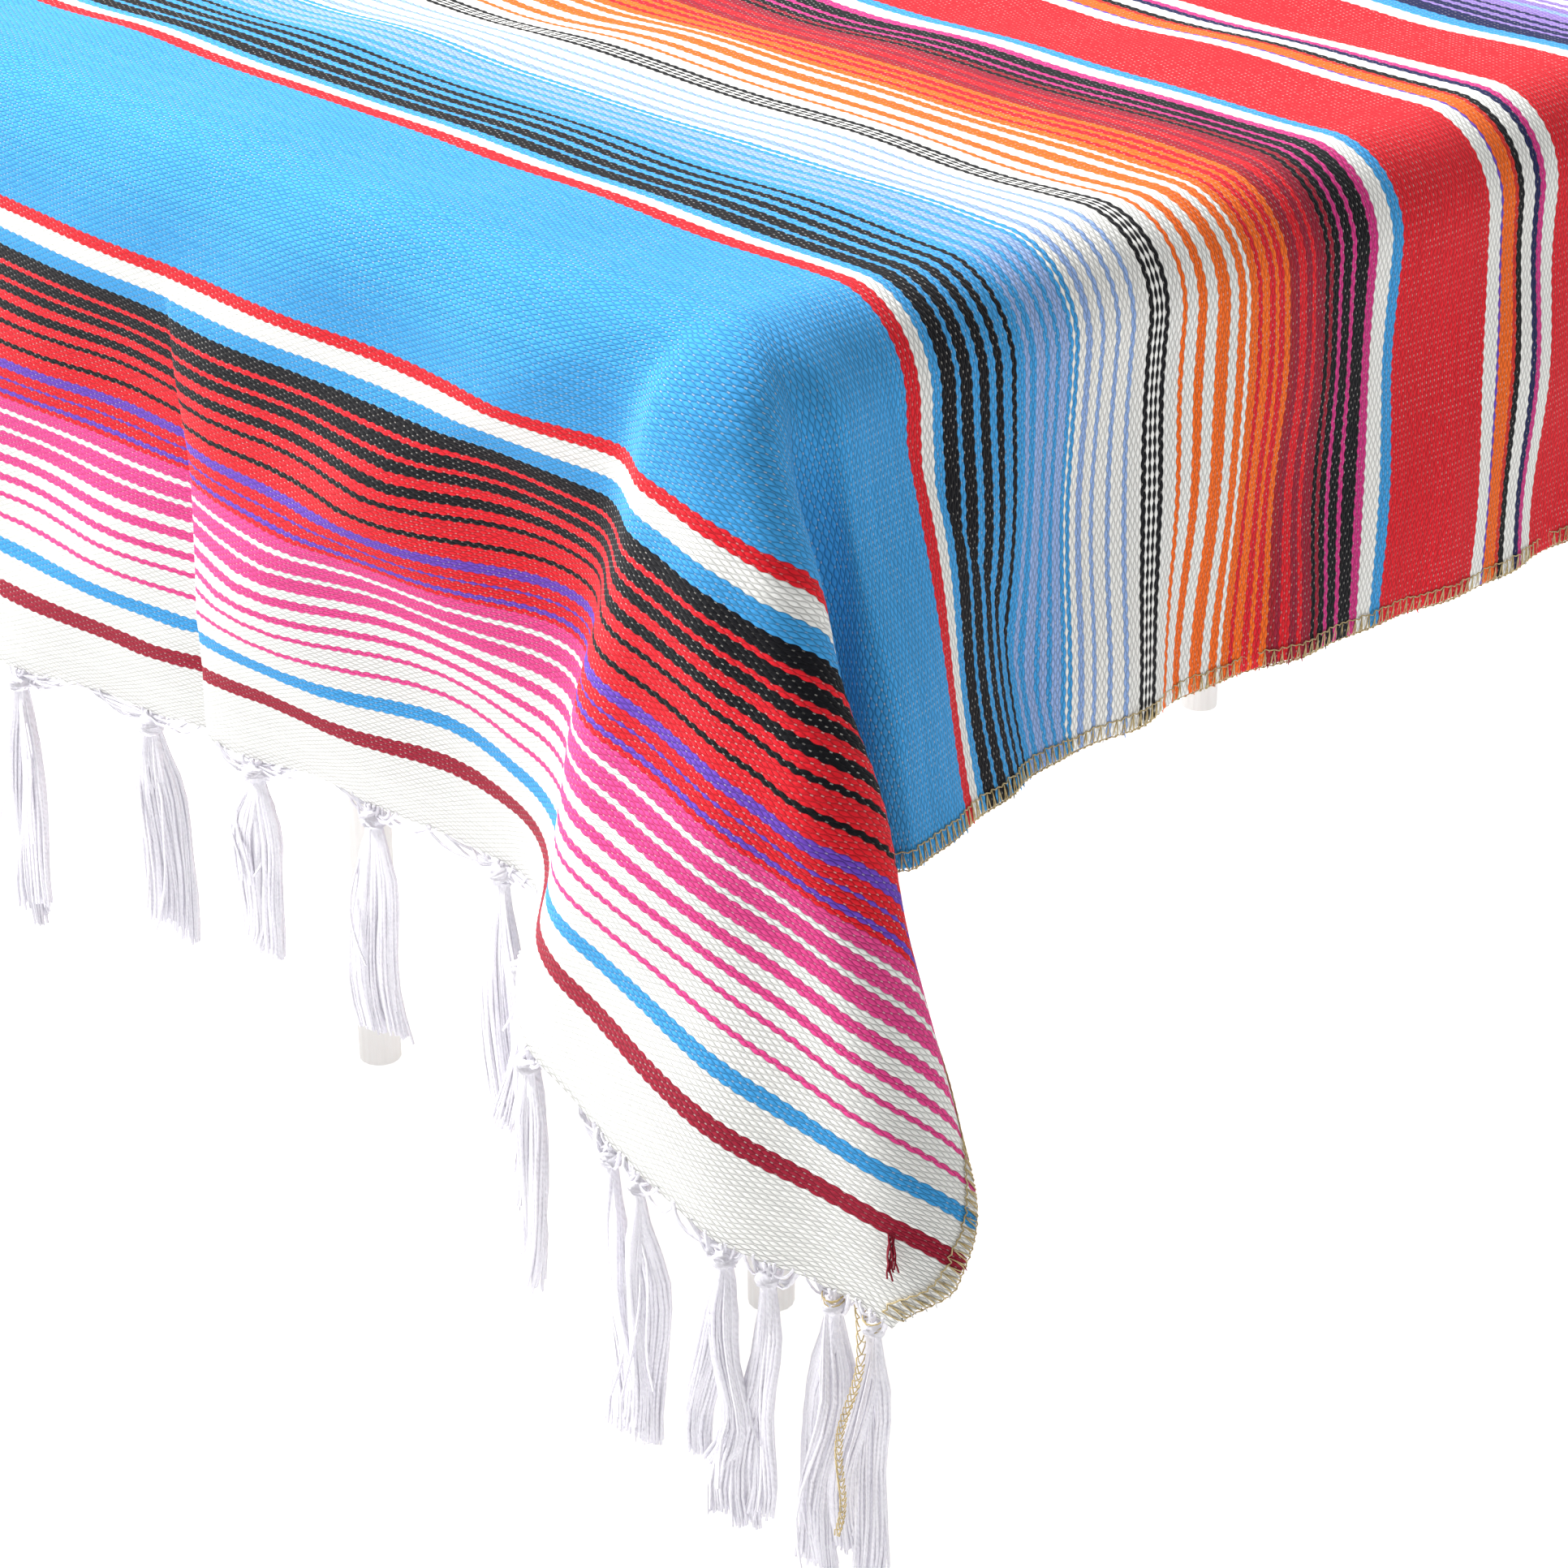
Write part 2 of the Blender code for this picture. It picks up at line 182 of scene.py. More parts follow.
def cornerDrape(pastSide, pastEnd, styleName):
    style = foldStyles[styleName]
    angles, lines = folds[styleName]
    radiusOfFold = cloth["foldRadius"]
    overSide, overEnd = np.maximum(pastSide, 0.0), np.maximum(pastEnd, 0.0)
    reach = np.hypot(overSide, overEnd)
    quarter = radiusOfFold * math.pi / 2
    turn = np.minimum(reach, quarter) / radiusOfFold
    outward = np.column_stack([overSide, overEnd]) / np.maximum(reach, 1e-9)[:, None]
    place = np.column_stack([
        np.minimum(pastSide, 0.0) + outward[:, 0] * radiusOfFold * np.sin(turn),
        np.minimum(pastEnd, 0.0) + outward[:, 1] * radiusOfFold * np.sin(turn),
        -radiusOfFold * (1.0 - np.cos(turn)) - np.maximum(reach - quarter, 0.0)])
    angle = np.arctan2(pastSide, pastEnd)
    apex = cloth["apexSoftness"]
    radius = np.sqrt(pastSide**2 + pastEnd**2 + apex**2) - apex
    folded = np.column_stack([np.interp(angle, angles, lines[:, k]) for k in range(3)])
    zero = np.zeros_like(angle)
    plain = np.where((angle < 0.0)[:, None],
                     np.column_stack([np.sin(angle), zero, -np.cos(angle)]),
                     np.where((angle > math.pi / 2)[:, None],
                              np.column_stack([zero, np.cos(angle), -np.sin(angle)]),
                              np.column_stack([zero, zero, zero - 1.0])))
    inCone = (angle > -style["endSpread"]) & (angle < math.pi / 2 + style["sideSpread"])
    return place + np.where(inCone[:, None], radius[:, None] * (folded - plain), 0.0)


def creaseLean(v):
    share = (-v - foldY - crease["leanStart"]) / crease["leanRun"]
    return crease["lean"] * np.clip(share, 0.0, 1.0)


def mainDrape(u, v):
    # the overlocked edge drops straight before it turns in to a swept corner's knots
    nearSide, nearEnd = halfWidth - np.abs(u), halfLength - np.abs(v)
    above = nearEnd - cornerBulge["peak"] - cornerBulge["hold"]
    bulge = ramp(nearEnd, cornerBulge["peak"]) * (1.0 - ramp(above, cornerBulge["fade"]))
    bulge = bulge * (1.0 - ramp(nearSide, cornerBulge["reach"])) * (u * v < 0.0)
    u = u + np.sign(u) * cornerBulge["out"] * bulge
    reach = cloth["cornerReach"]
    drawn = ramp(np.abs(u) - halfWidth + reach, reach) * ramp(np.abs(v) - halfLength + reach, reach)
    v = v - np.sign(v) * cloth["cornerRise"] * drawn
    side, end = np.where(u < 0.0, -1.0, 1.0), np.where(v < 0.0, -1.0, 1.0)
    pastSide, pastEnd = np.abs(u) - foldX, np.abs(v) - foldY
    points = np.empty((len(u), 3))
    for (sx, sy), styleName in cornerStyles.items():
        here = (side == sx) & (end == sy)
        local = cornerDrape(pastSide[here], pastEnd[here], styleName)
        points[here] = np.column_stack([middleX + sx * (foldX + local[:, 0]),
                                        middleY + sy * (foldY + local[:, 1]),
                                        cloth["topHeight"] + local[:, 2]])
    hangSide = ramp(pastSide, cloth["sideDrop"]) * ramp(-pastEnd, cloth["sideCalm"])
    hangEnd = ramp(pastEnd, cloth["endDrop"]) * ramp(-pastSide, cloth["endCalm"])
    for where, middle, reach, out in panelWaves:
        axis, sign = where[1], 1.0 if where[0] == "+" else -1.0
        along, across, hang = (v, side, hangSide) if axis == "x" else (u, end, hangEnd)
        bump = out * np.exp(-((along - middle) / reach)**2)
        points[:, 0 if axis == "x" else 1] += sign * bump * hang * (across == sign)
    past = crease["at"] - creaseLean(v) - u
    back = np.clip(past / crease["edge"], 0.0, 1.0)
    step = crease["step"] * back * np.exp(-np.maximum(past, 0.0) / crease["reach"])
    hollow = np.exp(-np.maximum(-past, 0.0) / crease["dipReach"])
    step = step + crease["dip"] * (1.0 - back) * hollow
    hung = ramp(pastEnd - cloth["foldRadius"] * crease["start"], crease["run"])
    points[:, 1] += step * hung * (v < 0.0) * (u > 0.0)
    return points


# small unevenness of the cloth
soft = {
    "topLift": 0.0007,
    "hangWave": 0.0019, "hangReach": 0.10,
    "waves": 14, "waveBeat": (3, 11), "waveShare": 3.2,
    "hemWave": 0.0011,  # of the overlocked sides
    "hems": 9, "hemBeat": (9, 26), "hemShare": 2.4,
    "hemStart": 0.35, "hemRun": 0.65,  # shares of the side's drop
    "cornerCalm": 0.8, "calmStart": 0.02, "calmRun": 0.10,
    "hemBow": 0.0022,  # of the fringed ends, between the knots
    "bowGap": 0.06, "bowMost": 1.2, "bowReach": 0.020,
    "probe": 0.0012,  # how far from a point its directions are measured
}
# knots, in metres from the near side edge, at both ends
knotsNear = [0.008, 0.023, 0.045, 0.060, 0.101, 0.116, 0.170, 0.232, 0.304, 0.374, 0.440, 0.511,
             0.583]
knotsFar = [1.360, 1.430, 1.474]
knotsBetween = [knotsNear[-1] + (knotsFar[0] - knotsNear[-1]) * k / 10 for k in range(1, 10)]
knotPlaces = knotsNear + knotsBetween + knotsFar
waveTable = [(random.uniform(*soft["waveBeat"]), random.uniform(*soft["waveBeat"]),
              random.uniform(0, 6.28)) for _ in range(soft["waves"])]
hemTable = [(random.uniform(*soft["hemBeat"]), random.uniform(0, 6.28))
            for _ in range(soft["hems"])]


def unevenness(u, v):
    # how far the cloth stands off its main form, along its normal
    pastSide, pastEnd = np.abs(u) - foldX, np.abs(v) - foldY
    hang = ramp(np.maximum(pastSide, pastEnd), soft["hangReach"])
    wave = sum(np.sin(6.28 * (a * u + b * v * (1 if k % 2 else -1)) + c)
               for k, (a, b, c) in enumerate(waveTable)) / soft["waveShare"]
    hem = sum(np.sin(6.28 * a * v + c * (1 + (u > 0))) for a, c in hemTable) / soft["hemShare"]
    drop = cloth["sideDrop"]
    nearHem = ramp(pastSide - drop * soft["hemStart"], drop * soft["hemRun"])
    calm = soft["cornerCalm"] * ramp(pastEnd + soft["calmStart"], soft["calmRun"])
    nearHem = nearHem * (1.0 - calm)
    return ((1.0 - hang) * soft["topLift"] * (1.0 + wave)
            + hang * soft["hangWave"] * wave + nearHem * soft["hemWave"] * hem)


def knotPull(u, v):
    # the knots pull the fringed hem down, and it bows up between them
    near = np.where(v < 0.0, halfWidth - u, halfWidth + u)
    places = np.array(knotPlaces)
    gaps = np.clip(np.searchsorted(places, near), 1, len(places) - 1)
    width = places[gaps] - places[gaps - 1]
    share = (near - places[gaps - 1]) / width
    bow = np.sin(np.clip(share, 0.0, 1.0) * math.pi)
    bow = bow * np.clip(width / soft["bowGap"], 0.0, soft["bowMost"])
    nearHem = ramp(np.abs(v) - halfLength + soft["bowReach"], soft["bowReach"])
    return -soft["hemBow"] * bow * nearHem * np.sign(v)


def clothPoint(u, v, lift=0.0):
    # a point on the cloth, its normal and its two directions, for flat cloth coordinates
    u, v = np.atleast_1d(np.asarray(u, float)), np.atleast_1d(np.asarray(v, float))
    flatV = v + knotPull(u, v)
    step = soft["probe"]
    base = mainDrape(u, flatV)
    alongU = mainDrape(u + step, flatV) - mainDrape(u - step, flatV)
    alongV = mainDrape(u, flatV + step) - mainDrape(u, flatV - step)
    normal = np.cross(alongU, alongV)
    normal /= np.maximum(np.linalg.norm(normal, axis=1), 1e-9)[:, None]
    alongU /= np.linalg.norm(alongU, axis=1)[:, None]
    alongV /= np.linalg.norm(alongV, axis=1)[:, None]
    return base + normal * (unevenness(u, v) + lift)[:, None], normal, alongU, alongV


# stripes, as the weaver's chart
yarn = {  # sRGB
    "white": (246, 246, 242), "black": (14, 14, 20), "blue": (66, 162, 228),
    "red": (230, 30, 44), "burgundy": (160, 30, 54), "pink": (236, 74, 146),
    "purple": (110, 70, 190), "orange": (255, 112, 30), "sky": (150, 180, 232),
    "maroon": (172, 32, 46), "magenta": (214, 54, 134), "navy": (26, 34, 84),
    "lavender": (156, 130, 208), "rust": (212, 46, 36),
}
chart = """white 30 burgundy 7 white 11 blue 6 white 8 pink 2 white 7 pink 2 white 5 pink 3 white 5
pink 4 white 4 pink 6 white 2 pink 6 white 2 pink 5 red 2 purple 2 red 4 purple 1 red 4 purple 4
red 6 black 2 red 7 black 2 red 4 black 4 red 4 black 4 red 2 black 5 red 2 black 6 blue 7
white 8 red 5 blue 97 red 6 white 5 blue 4 black 6 blue 2 black 5 blue 3 black 4 blue 3 black 3
blue 4 black 2 blue 4 sky 2 blue 3 sky 4 blue 2 sky 3 blue 2 sky 4 blue 2 white 1 blue 2 white 3
sky 3 white 4 sky 2 white 5 sky 2 white 5 sky 2 white 6 black 2 white 1 black 1 white 1 black 1
white 1 black 2 white 6 orange 2 white 5 orange 4 white 5 orange 6 white 4 orange 4 white 2
orange 4 red 2 orange 4 red 3 orange 2 red 3 orange 3 maroon 3 burgundy 2 red 4 burgundy 3 red 2
burgundy 5 black 2 burgundy 2 black 3 magenta 2 black 4 magenta 2 black 6 magenta 4 white 7
blue 5 red 47 white 7 purple 1 orange 7 rust 2 black 3 white 6 navy 3 magenta 3 white 7 red 43
white 8 blue 7 navy 8 lavender 2 navy 4 lavender 3 navy 3 lavender 4 navy 2 lavender 6 sky 3
lavender 4 white 2 lavender 3 white 5 lavender 2 white 7 black 2 white 1 black 1 white 1 black 1
white 1 black 2 white 7 pink 2 white 5 pink 3 white 4 pink 4 white 3 pink 5 magenta 3 pink 3
magenta 5 burgundy 2 magenta 3 burgundy 4 black 2 burgundy 3 black 4 blue 2 black 5 blue 3
black 4 blue 5 white 8 orange 5 red 4 orange 78 red 5 white 7 black 3 blue 6 white 6 magenta 3
white 5 red 24"""


def readChart():
    words = chart.split()
    rows, start = [], 0
    for name, picks in zip(words[::2], words[1::2]):
        rows.append((start, name))
        start += int(picks)
    print("chart has", start, "picks of", int(halfLength * 1000))
    return rows


weave = {
    "pick": 0.001,  # metres from one weft yarn to the next
    "warp": 0.0023,
    "snake": 0.27,  # how far a yarn swells over a warp, in picks
    "wander": 0.0011, "wanderScale": 7.0,  # slow drift of the picks, metres
    "shiver": 0.5, "shiverScale": 90.0,  # quick drift, in picks
    "dot": 0.44,  # how white the warp shows between the weft
    "dotColor": (238, 234, 226),
    "patchScale": 26.0,  # of the places where more of the warp shows
    "fibre": (420.0, 1.7),  # how fine the fibres are, along and across a yarn
    "tone": (0.34, 0.83),  # range and least of each yarn's own tone
    "depth": (0.40, 0.64),  # range and least of the painted shade between yarns, darker where the weave lies low
    "rough": (0.12, 0.80),
    "relief": 0.00045, "reliefStrength": 0.75,
    "lint": 0.22, "lintScale": 1300.0,
}
chartRun = {"stops": 30, "picks": 100}  # the most on one color ramp


def linear(color):
    return tuple((c / 255 / 12.92) if c <= 10 else ((c / 255 + 0.055) / 1.055)**2.4
                 for c in color) + (1.0,)


class Graph:
    # short ways to add and join shader nodes
    def __init__(self, tree):
        self.tree = tree

    def node(self, kind, **values):
        item = self.tree.nodes.new(kind)
        for key, value in values.items():
            setattr(item, key, value)
        return item

    def feed(self, socket, value):
        if isinstance(value, bpy.types.NodeSocket):
            self.tree.links.new(value, socket)
        elif value is not None:
            socket.default_value = value

    def math(self, operation, a, b=None, c=None, clamp=False):
        item = self.node("ShaderNodeMath", operation=operation, use_clamp=clamp)
        for k, value in enumerate((a, b, c)):
            self.feed(item.inputs[k], value)
        return item.outputs[0]

    def times(self, a, b):
        return self.math("MULTIPLY", a, b)

    def plus(self, a, b):
        return self.math("ADD", a, b)

    def mix(self, share, a, b, kind="MIX"):
        item = self.node("ShaderNodeMix", data_type="RGBA", blend_type=kind)
        self.feed(item.inputs[0], share)
        self.feed(item.inputs[6], a)
        self.feed(item.inputs[7], b)
        return item.outputs[2]

    def noise(self, vector, scale, detail=2.0, roughness=0.5):
        item = self.node("ShaderNodeTexNoise")
        self.feed(item.inputs["Vector"], vector)
        item.inputs["Scale"].default_value = scale
        item.inputs["Detail"].default_value = detail
        item.inputs["Roughness"].default_value = roughness
        return item.outputs["Fac"]

    def join(self, x, y, z=0.0):
        item = self.node("ShaderNodeCombineXYZ")
        for k, value in enumerate((x, y, z)):
            self.feed(item.inputs[k], value)
        return item.outputs[0]

    def between(self, value, low, high):
        item = self.node("ShaderNodeMapRange", interpolation_type="SMOOTHSTEP")
        self.feed(item.inputs[0], value)
        item.inputs[1].default_value, item.inputs[2].default_value = low, high
        return item.outputs[0]


def newGroup(name, inputs, outputs):
    tree = bpy.data.node_groups.new(name, "ShaderNodeTree")
    for label, kind in inputs:
        tree.interface.new_socket(label, in_out="INPUT", socket_type=kind)
    for label, kind in outputs:
        tree.interface.new_socket(label, in_out="OUTPUT", socket_type=kind)
    g = Graph(tree)
    return g, g.node("NodeGroupInput").outputs, g.node("NodeGroupOutput").inputs


def stripeGroup():
    g, given, out = newGroup("stripes", [("Pick", "NodeSocketFloat")],
                             [("Color", "NodeSocketColor")])
    parts = []  # short runs, because a ramp is read in 256 steps
    for start, name in readChart():
        full = parts and (len(parts[-1]) == chartRun["stops"]
                          or start - parts[-1][0][0] > chartRun["picks"])
        if full or not parts:
            parts.append([])
        parts[-1].append((start, name))
    color = None
    for part in parts:
        first, span = part[0][0], part[-1][0] - part[0][0] + 1
        item = g.node("ShaderNodeValToRGB")
        item.color_ramp.interpolation = "CONSTANT"
        stops = item.color_ramp.elements
        stops.remove(stops[1])
        stops[0].position = 0.0
        for start, _ in part[1:]:
            stops.new((start - first) / span)
        for stop, (_, name) in zip(stops, part):
            stop.color = linear(yarn[name])
        place = g.math("SUBTRACT", given["Pick"], first)
        g.feed(item.inputs[0], g.math("DIVIDE", place, span))
        if color is None:
            color = item.outputs[0]
        else:
            color = g.mix(g.math("GREATER_THAN", place, 0.0), color, item.outputs[0])
    g.feed(out["Color"], color)
    return g.tree


def weaveGroup():
    # weft-faced plain weave: each yarn swells over one warp and dives under the next
    g, given, out = newGroup(
        "plainWeave", [("Place", "NodeSocketVector")],
        [("Pick", "NodeSocketFloat"), ("Height", "NodeSocketFloat"),
         ("Warp Dot", "NodeSocketFloat"), ("Yarn", "NodeSocketFloat")])
    split = g.node("ShaderNodeSeparateXYZ")
    g.feed(split.inputs[0], given["Place"])
    drift = g.noise(given["Place"], weave["wanderScale"], 1.0)
    fine = g.noise(given["Place"], weave["shiverScale"], 1.0)
    slow = g.times(g.math("SUBTRACT", drift, 0.5), weave["wander"] * 2)
    quick = g.times(g.math("SUBTRACT", fine, 0.5), weave["pick"] * weave["shiver"])
    v = g.plus(split.outputs[1], g.plus(slow, quick))
    away = g.math("SUBTRACT", halfLength, g.math("ABSOLUTE", v))
    b = g.math("DIVIDE", away, weave["pick"])
    a = g.math("DIVIDE", split.outputs[0], weave["warp"])
    cosA = g.math("COSINE", g.times(a, math.pi))
    cosB = g.math("COSINE", g.times(b, math.pi))
    swell = g.times(g.times(cosA, cosB), -weave["snake"])
    moved = g.plus(b, swell)
    row = g.math("FLOOR", moved)
    across = g.math("SUBTRACT", g.math("FRACT", moved), 0.5)
    crown = g.math("COSINE", g.times(across, math.pi))
    signRow = g.math("COSINE", g.times(row, math.pi))
    over = g.math("MULTIPLY_ADD", g.times(cosA, signRow), -0.5, 0.5)
    height = g.times(crown, g.math("MULTIPLY_ADD", over, 0.65, 0.35))
    low = g.between(over, 0.11, 0.02)
    inRow = g.between(g.math("ABSOLUTE", across), 0.44, 0.22)
    spot = g.join(g.math("ROUND", a), row)
    chance = g.node("ShaderNodeTexWhiteNoise", noise_dimensions="2D")
    g.feed(chance.inputs["Vector"], spot)
    shown = g.between(chance.outputs["Value"], 0.05, 0.60)
    patch = g.between(g.noise(given["Place"], weave["patchScale"]), 0.30, 0.62)
    seen = g.times(shown, g.math("MULTIPLY_ADD", patch, 0.65, 0.35))
    dot = g.times(g.times(low, inRow), seen)
    perRow = g.node("ShaderNodeTexWhiteNoise", noise_dimensions="1D")
    g.feed(perRow.inputs["W"], row)
    along, across = weave["fibre"]
    stretched = g.join(g.times(split.outputs[0], along), g.times(b, across))
    fibre = g.noise(stretched, 1.0, 3.0, 0.65)
    tone = g.plus(g.times(perRow.outputs["Value"], 0.35), g.times(fibre, 0.65))
    g.feed(out["Pick"], g.plus(row, 0.5))
    g.feed(out["Height"], height)
    g.feed(out["Warp Dot"], g.times(dot, weave["dot"]))
    g.feed(out["Yarn"], tone)
    return g.tree


threadLook = {
    "ply": 0.35,
    "lintScale": 900.0, "cloudScale": 60.0,
    "tones": (0.30, 0.62),
    "relief": 0.0002, "reliefStrength": 0.5,
    "roughness": 0.85, "sheen": 0.12,
}


def threadGroup():
    # the ply and soft lint of spun cotton or polyester thread
    g, given, out = newGroup(
        "thread", [("Place", "NodeSocketVector"), ("Twist", "NodeSocketFloat")],
        [("Tone", "NodeSocketFloat"), ("Height", "NodeSocketFloat")])
    split = g.node("ShaderNodeSeparateXYZ")
    g.feed(split.inputs[0], given["Place"])
    slant = g.plus(split.outputs[2], g.plus(split.outputs[0], split.outputs[1]))
    ply = g.math("SINE", g.times(slant, given["Twist"]))
    lint = g.noise(given["Place"], threadLook["lintScale"])
    cloud = g.noise(given["Place"], threadLook["cloudScale"])
    g.feed(out["Tone"],
           g.plus(g.times(lint, 0.5), g.times(cloud, 0.5)))
    g.feed(out["Height"], g.math("MULTIPLY_ADD", ply, threadLook["ply"], lint))
    return g.tree


matte = {"sheenRoughness": 0.6, "specular": 0.12}


def newMaterial(name, roughness, sheen=0.0):
    material = bpy.data.materials.new(name)
    material.use_nodes = True
    g = Graph(material.node_tree)
    shader = material.node_tree.nodes["Principled BSDF"]
    shader.inputs["Roughness"].default_value = roughness
    shader.inputs["Sheen Weight"].default_value = sheen
    shader.inputs["Sheen Roughness"].default_value = matte["sheenRoughness"]
    shader.inputs["Specular IOR Level"].default_value = matte["specular"]
    return material, g, shader


def addGroup(g, tree):
    item = g.node("ShaderNodeGroup")
    item.node_tree = tree
    return item


def addBump(g, shader, height, strength, relief):
    bump = g.node("ShaderNodeBump")
    bump.inputs["Strength"].default_value = strength
    bump.inputs["Distance"].default_value = relief
    g.feed(bump.inputs["Height"], height)
    g.feed(shader.inputs["Normal"], bump.outputs[0])


stripesTree, weaveTree, threadTree = stripeGroup(), weaveGroup(), threadGroup()


def makeClothMaterial():
    material, g, shader = newMaterial("wovenSerape", 0.88, 0.06)
    woven = addGroup(g, weaveTree)
    g.feed(woven.inputs["Place"], g.node("ShaderNodeUVMap", uv_map="cloth").outputs[0])
    stripes = addGroup(g, stripesTree)
    g.feed(stripes.inputs["Pick"], woven.outputs["Pick"])
    tone = g.math("MULTIPLY_ADD", woven.outputs["Yarn"], *weave["tone"])
    raised = g.between(woven.outputs["Height"], 0.05, 0.75)
    # painted shade: the colour darkens where the weave lies low, between the yarns
    shade = g.times(tone, g.math("MULTIPLY_ADD", raised, *weave["depth"]))
    dyedAndShaded = g.mix(1.0, stripes.outputs["Color"], g.join(shade, shade, shade), "MULTIPLY")
    g.feed(shader.inputs["Base Color"],
           g.mix(woven.outputs["Warp Dot"], dyedAndShaded, linear(weave["dotColor"])))
    lint = g.noise(g.node("ShaderNodeTexCoord").outputs["Object"], weave["lintScale"])
    height = g.math("MULTIPLY_ADD", lint, weave["lint"], woven.outputs["Height"])
    addBump(g, shader, height, weave["reliefStrength"], weave["relief"])
    g.feed(shader.inputs["Roughness"],
           g.math("MULTIPLY_ADD", woven.outputs["Yarn"], *weave["rough"]))
    return material


def makeThreadMaterial(name, finish):
    material, g, shader = newMaterial(name, threadLook["roughness"], threadLook["sheen"])
    thread = addGroup(g, threadTree)
    g.feed(thread.inputs["Place"], g.node("ShaderNodeTexCoord").outputs["Object"])
    thread.inputs["Twist"].default_value = finish["twist"]
    tone = g.between(thread.outputs["Tone"], *threadLook["tones"])
    g.feed(shader.inputs["Base Color"],
           g.mix(tone, linear(finish["shadow"]), linear(finish["color"])))
    addBump(g, shader, thread.outputs["Height"], threadLook["reliefStrength"],
            threadLook["relief"])
    return material


cotton = {
    "color": (235, 233, 239), "shadow": (219, 217, 225), "twist": 2600.0,
    "glow": (0.95, 0.93, 1.0, 1.0), "paintedGlowStrength": 0.12,  # painted glow: a faint emission that lifts the threads' shade
}
overlockThread = {"color": (210, 190, 142), "shadow": (168, 146, 98), "twist": 3800.0}
clothMaterial = makeClothMaterial()
cottonMaterial = makeThreadMaterial("fringeCotton", cotton)
cottonShader = cottonMaterial.node_tree.nodes["Principled BSDF"]
# painted glow: the cotton emits a faint light of its own, which lifts its shaded threads
cottonShader.inputs["Emission Color"].default_value = cotton["glow"]
cottonShader.inputs["Emission Strength"].default_value = cotton["paintedGlowStrength"]
overlockMaterial = makeThreadMaterial("overlockThread", overlockThread)
print("cloth and thread materials made")


# the cloth's thin wall
def addPiece(name, mesh, material):
    mesh.materials.clear()
    mesh.materials.append(material)
    item = addObject(name, mesh)
    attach(item, "root")
    return item


def gridLines(half, fold, low, high):
    # low is the step where the negative end hangs, and high where the positive end does
    inner = fold - cloth["fineReach"]
    down = np.linspace(-half, -inner, round((half - inner) / low) + 1)
    flat = np.linspace(-inner, inner, round(2 * inner / cloth["topStep"]) + 1)
    up = np.linspace(inner, half, round((half - inner) / high) + 1)
    return np.unique(np.round(np.concatenate([down, flat, up]), 6))


def makeCloth():
    uLines = gridLines(halfWidth, foldX, cloth["farStep"], cloth["nearStep"])
    vLines = gridLines(halfLength, foldY, cloth["nearStep"], cloth["farStep"])
    at, (before, after) = crease["at"], crease["clear"]
    uLines = uLines[(uLines < at - before) | (uLines > at + after)]
    uLines = np.sort(np.concatenate([uLines, at + np.array(crease["lines"])]))
    gridU, gridV = np.meshgrid(uLines, vLines)
    gridU = gridU - creaseLean(gridV) * np.exp(-((gridU - at) / crease["blend"])**2)
    points = clothPoint(gridU.ravel(), gridV.ravel())[0]
    columns, rows = len(uLines), len(vLines)
    index = np.arange(columns * rows).reshape(rows, columns)
    faces = np.stack([index[:-1, :-1], index[:-1, 1:], index[1:, 1:], index[1:, :-1]],
                     axis=-1).reshape(-1, 4)
    mesh = bpy.data.meshes.new("serape_cloth")
    mesh.from_pydata(points.tolist(), [], faces.tolist())
    layer = mesh.uv_layers.new(name="cloth")
    flat = np.column_stack([gridU.ravel(), gridV.ravel()])
    layer.data.foreach_set("uv", flat[faces.ravel()].ravel())
    mesh.shade_smooth()
    item = addPiece("serape_cloth", mesh, clothMaterial)
    wall = item.modifiers.new("wall", "SOLIDIFY")
    wall.thickness = cloth["thickness"]
    wall.offset = 0.0
    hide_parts("serape")
    print("cloth of", len(faces), "squares")
    return item


clothPiece = makeCloth()


# threads, by one node tree
def threadNodes():
    tree = bpy.data.node_groups.new("threadTubes", "GeometryNodeTree")
    for label, way, kind in (("Geometry", "INPUT", "Geometry"), ("Sides", "INPUT", "Int"),
                             ("Material", "INPUT", "Material"),
                             ("Geometry", "OUTPUT", "Geometry")):
        tree.interface.new_socket(label, in_out=way, socket_type="NodeSocket" + kind)
    add, join = tree.nodes.new, tree.links.new
    given, out = add("NodeGroupInput"), add("NodeGroupOutput")
    curve, tube = add("GeometryNodeMeshToCurve"), add("GeometryNodeCurveToMesh")
    profile, thick = add("GeometryNodeCurvePrimitiveCircle"), add("GeometryNodeInputNamedAttribute")
    real, finish = add("GeometryNodeRealizeInstances"), add("GeometryNodeSetMaterial")
    thick.data_type = "FLOAT"
    thick.inputs["Name"].default_value = "thick"
    profile.inputs["Radius"].default_value = 1.0
    tube.inputs["Fill Caps"].default_value = True
    join(given.outputs["Geometry"], curve.inputs[0])
    join(given.outputs["Sides"], profile.inputs["Resolution"])
    join(curve.outputs[0], tube.inputs["Curve"])
    join(profile.outputs[0], tube.inputs["Profile Curve"])
    join(thick.outputs[0], tube.inputs["Scale"])
    join(tube.outputs[0], real.inputs[0])
    join(real.outputs[0], finish.inputs["Geometry"])
    join(given.outputs["Material"], finish.inputs["Material"])
    join(finish.outputs[0], out.inputs[0])
    return tree


threadTubes = threadNodes()


